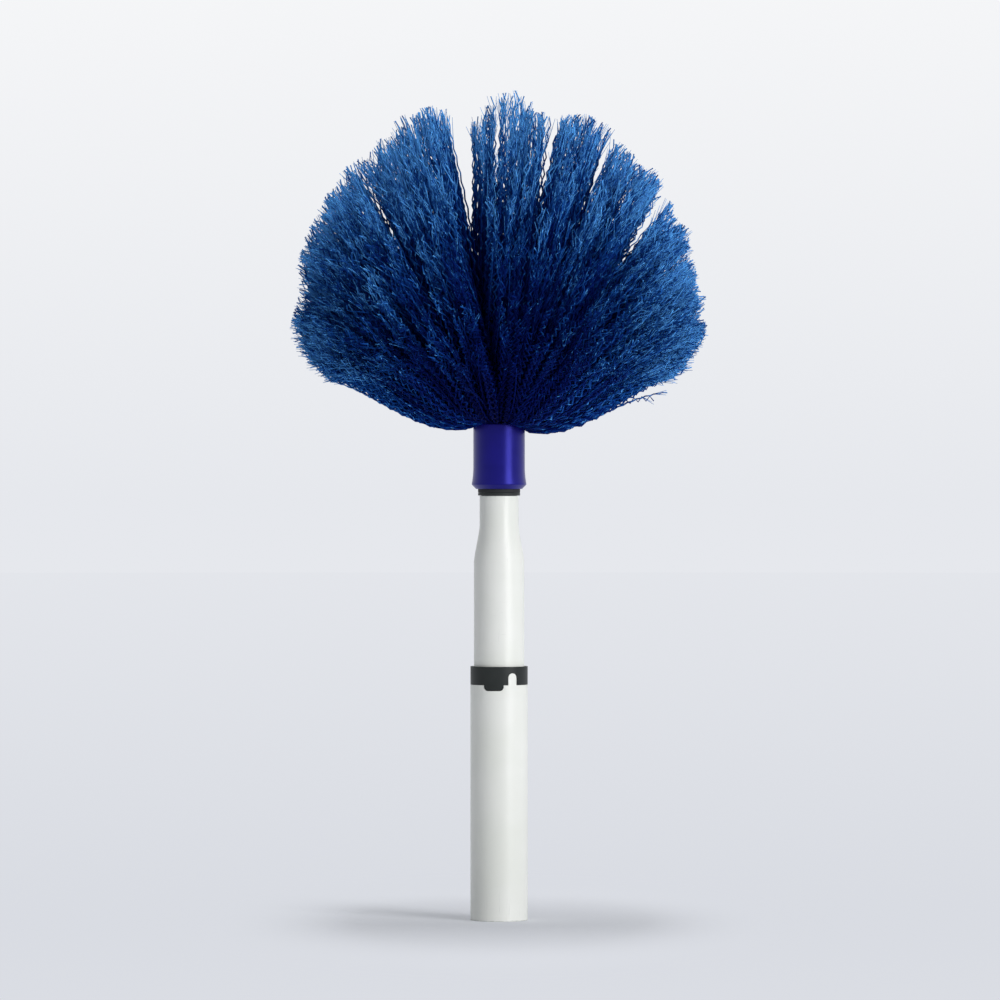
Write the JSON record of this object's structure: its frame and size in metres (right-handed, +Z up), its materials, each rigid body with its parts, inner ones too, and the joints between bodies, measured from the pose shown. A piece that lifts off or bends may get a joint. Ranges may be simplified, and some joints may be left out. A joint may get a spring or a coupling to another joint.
{
  "type": "flick duster",
  "caption": "Telescopic flick duster: a round fan of blue filaments in a screw-on collar, on a twist-lock pole of two white tubes.",
  "frame": {"origin": "centre of the pole's foot, on the surface it stands on", "axes": "+Z up along the pole towards the head, front of the picture towards -Y, +X to the right in the picture"},
  "size_m": [0.1797, 0.1789, 0.3612],
  "materials": {
    "white_tube": "smooth white paint, slightly warm",
    "black_moulding": "satin black moulding",
    "black_rubber": "matt black rubber",
    "indigo_collar": "glossy indigo moulding",
    "blue_filament": "crimped translucent blue filament, paler at the tips",
    "natural_nylon": "satin natural nylon",
    "zinc_steel": "bright zinc plate"
  },
  "bodies": {
    "lower_pole": {"lower_tube": "white_tube", "guide_ring": "black_moulding", "end_plug": "natural_nylon"},
    "lock": {"lock_ring": "natural_nylon"},
    "upper_pole": {"upper_tube": "white_tube", "threaded_tip": "black_moulding", "cam_spindle": "natural_nylon"},
    "washer": {"neck_washer": "black_rubber"},
    "head": {"collar": "indigo_collar", "spreader_core": "natural_nylon", "core_screw": "zinc_steel", "core_washer": "zinc_steel", "binding_wire": "zinc_steel", "bristle_hank_1": "blue_filament", "bristle_hank_2": "blue_filament", "bristle_hank_3": "blue_filament", "bristle_hank_4": "blue_filament"}
  },
  "joints": [
    {"name": "telescope", "type": "slide", "parent": "lower_pole", "child": "lock", "axis": [0, 0, 1], "range_m": [-0.046, 0.0175]},
    {"name": "twist_lock", "type": "hinge", "parent": "lock", "child": "upper_pole", "pos_m": [0, 0, 0.07], "axis": [0, 0, 1], "range_deg": [0, 90]},
    {"name": "head_unscrew", "type": "hinge", "parent": "upper_pole", "child": "washer", "pos_m": [0, 0, 0.19], "axis": [0, 0, 1], "range_deg": [0, 1620]},
    {"name": "head_lift", "type": "slide", "parent": "washer", "child": "head", "axis": [0, 0, 1], "range_m": [0, 0.0136]}
  ],
  "couplings": [
    {"joint": "head_lift", "follows": "head_unscrew", "m_per_rad": 0.00047746}
  ]
}
